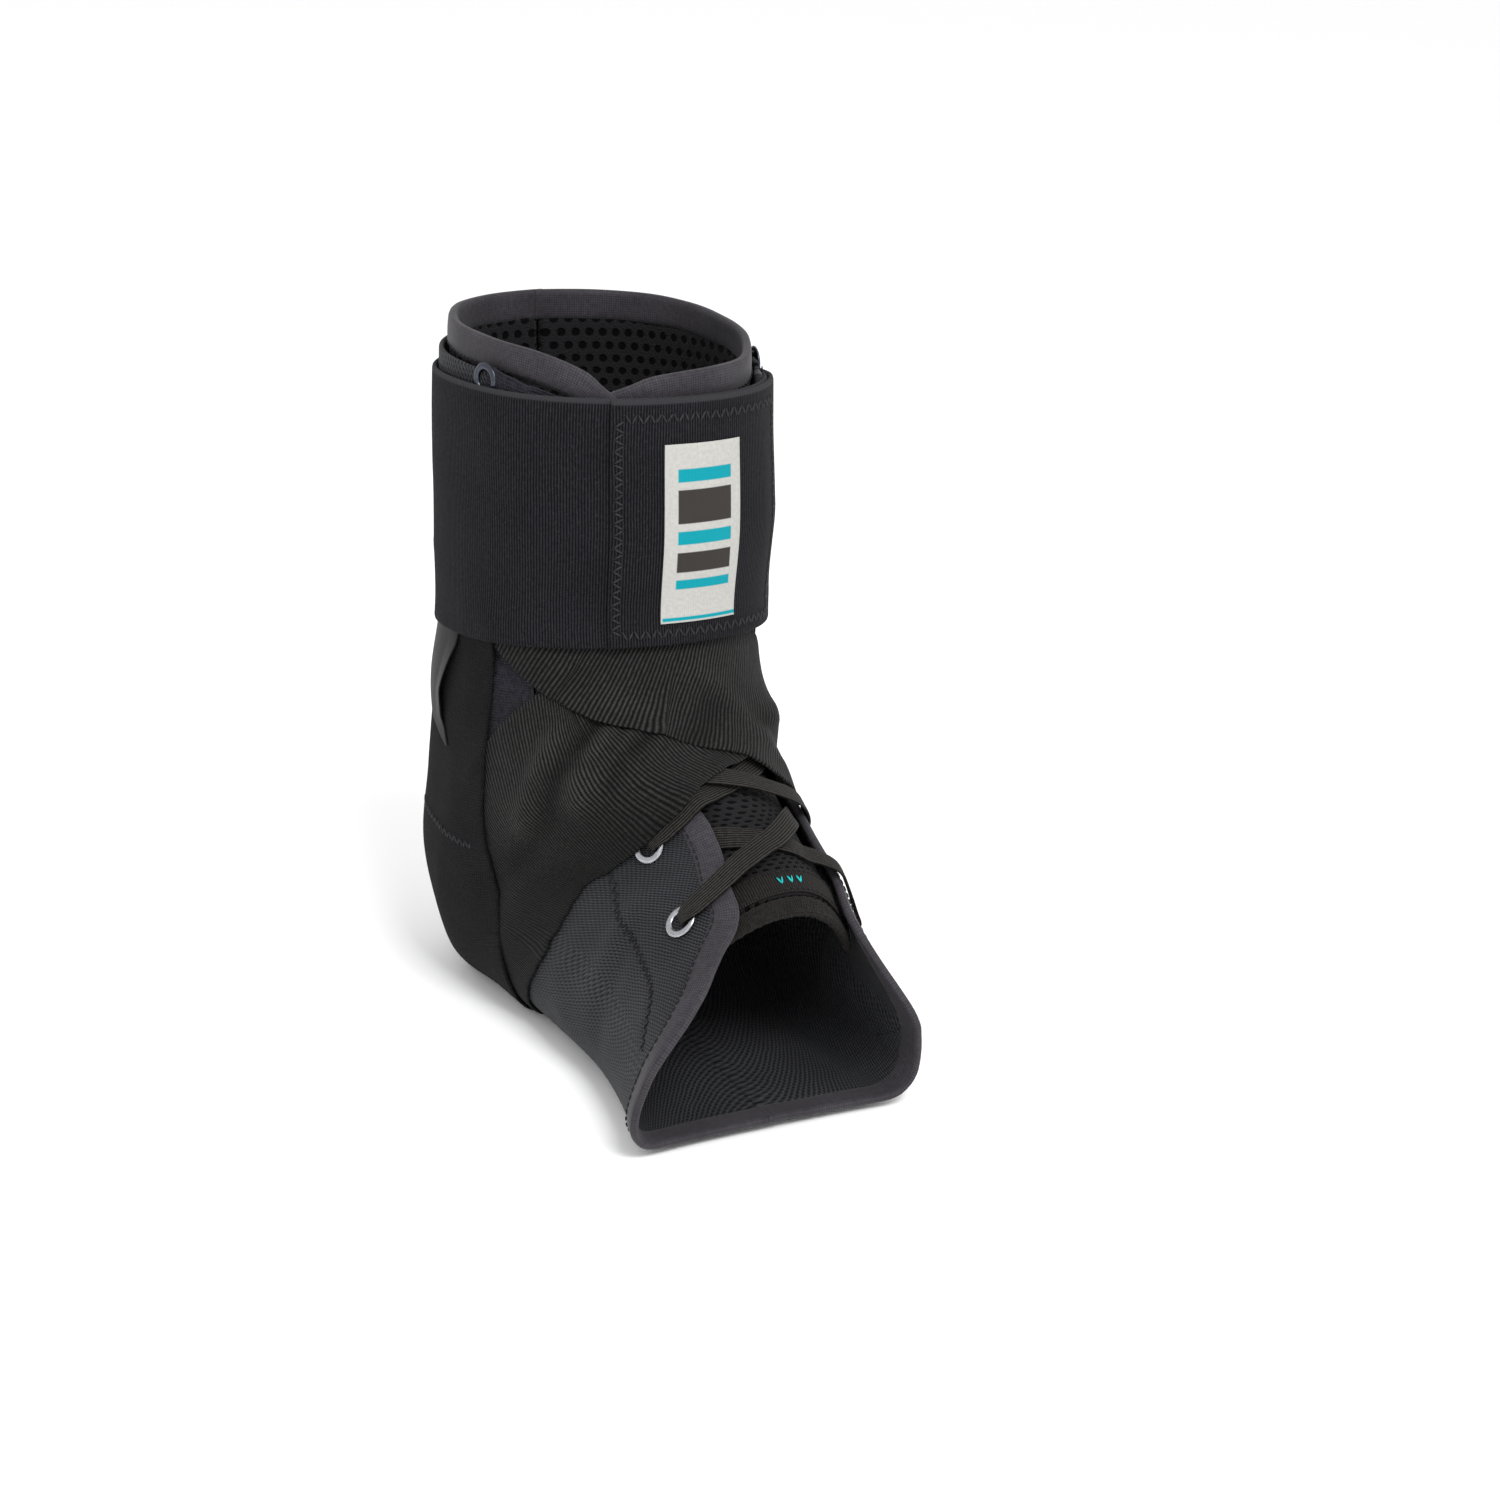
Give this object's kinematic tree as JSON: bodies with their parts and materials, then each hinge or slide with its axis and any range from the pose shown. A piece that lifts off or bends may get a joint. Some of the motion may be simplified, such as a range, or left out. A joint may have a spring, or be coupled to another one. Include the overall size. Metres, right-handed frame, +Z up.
{
  "type": "ankle brace",
  "caption": "Lace-up ankle brace for a right foot: bound fabric shell with tongue, crossed figure-of-eight straps under the heel and an elastic cuff above the ankle.",
  "frame": {"origin": "middle of the bounding box on the floor, under the sole", "axes": "+X to the toes, +Y to the inner (medial) side of the right foot, +Z up the leg"},
  "size_m": [0.1864, 0.1022, 0.2058],
  "materials": {
    "nylon": "woven ballistic nylon, near black",
    "binding": "folded knitted binding tape, near black",
    "spacer": "open spacer mesh, black",
    "webbing": "ribbed woven nylon strap, near black",
    "elastic": "ribbed woven elastic with loop face, near black",
    "lace": "flat ribbed lace, near black",
    "label": "silver-grey woven label with plain teal and charcoal bars",
    "tag": "folded satin ribbon, bare",
    "nickel": "nickel-plated eyelet"
  },
  "bodies": {
    "root": {"tongue_lining": "spacer", "rim_binding": "binding", "tongue_edge": "binding", "tongue_band": "webbing", "quarter_outer": "nylon", "binding_outer": "binding", "lace_outer": "lace", "strap_outer": "webbing", "eyelet_outer_1": "nickel", "eyelet_outer_2": "nickel", "eyelet_outer_3": "nickel", "eyelet_outer_4": "nickel", "eyelet_outer_5": "nickel", "quarter_inner": "nylon", "binding_inner": "binding", "lace_inner": "lace", "strap_inner": "webbing", "eyelet_inner_1": "nickel", "eyelet_inner_2": "nickel", "eyelet_inner_3": "nickel", "eyelet_inner_4": "nickel", "eyelet_inner_5": "nickel", "elastic_cuff": "elastic", "front_label": "label", "side_tag": "tag"}
  },
  "joints": []
}
